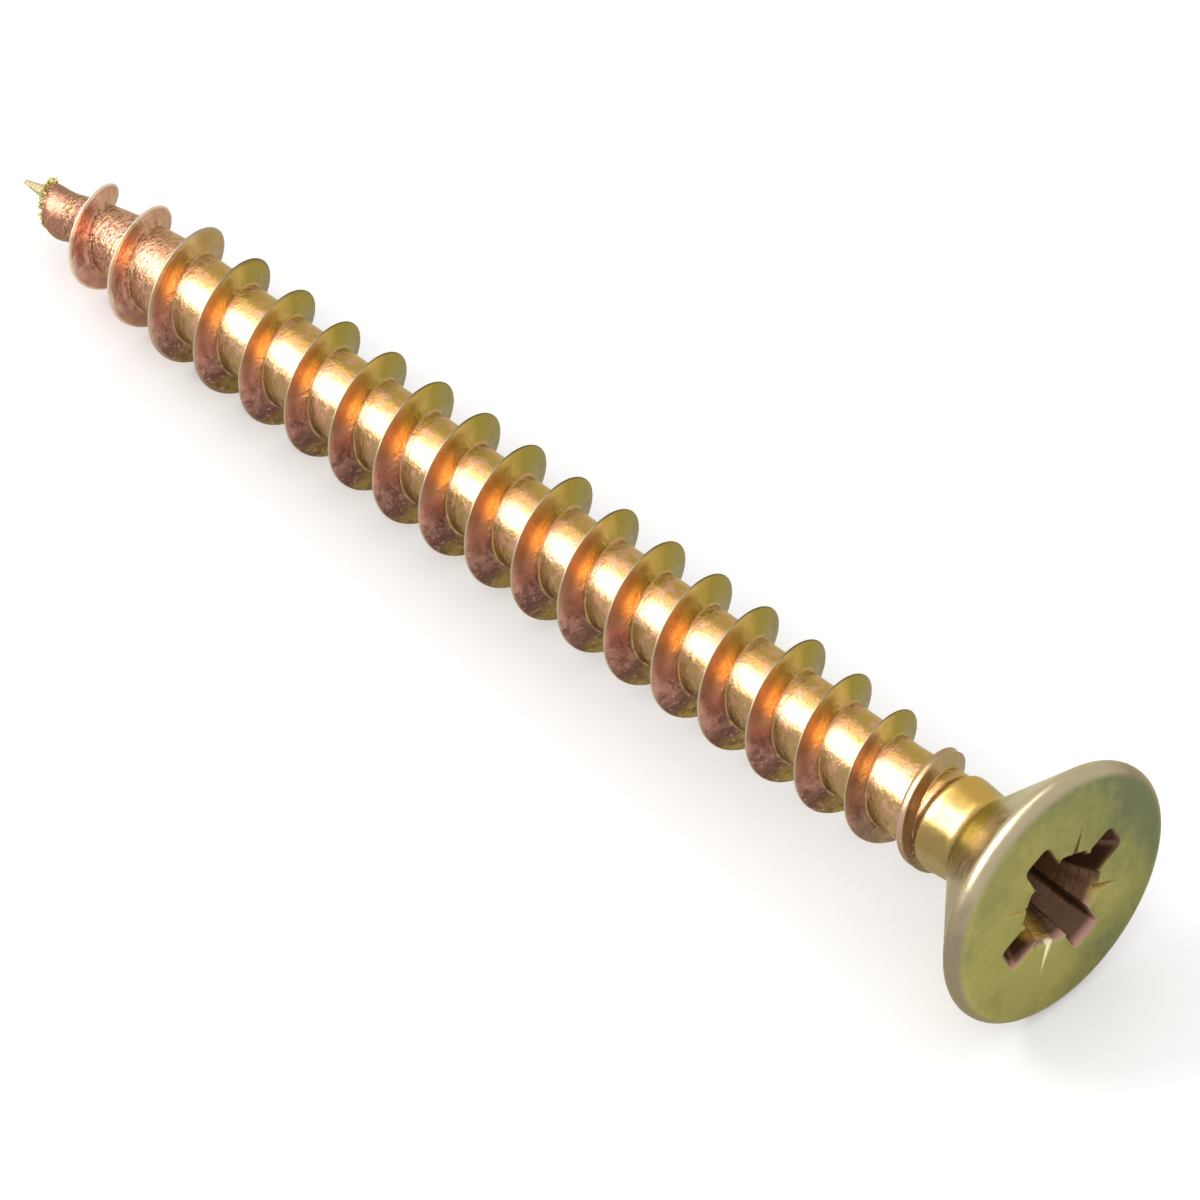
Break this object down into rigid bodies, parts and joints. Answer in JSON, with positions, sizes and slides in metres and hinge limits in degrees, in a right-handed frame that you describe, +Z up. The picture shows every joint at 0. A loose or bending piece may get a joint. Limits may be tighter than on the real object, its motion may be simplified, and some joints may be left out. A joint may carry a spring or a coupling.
{
  "type": "multi-purpose screw",
  "caption": "Countersunk wood and multi-purpose screw with a coarse full-length thread, a type Z cross recess and a sharp bent point, lying on its side.",
  "frame": {"origin": "centre of the lying screw's footprint box, on the surface that it lies on", "axes": "+X from the point to the head, +Z up; the screw lies on the rim of its head and on its thread near the point, so its own axis rises 3.7 degrees towards +X"},
  "size_m": [0.0404, 0.008, 0.008],
  "materials": {
    "yellow_zinc": "yellow passivated zinc over rolled steel, satin, with red, pink and green tints"
  },
  "bodies": {
    "root": {"screw": "yellow_zinc"}
  },
  "joints": []
}
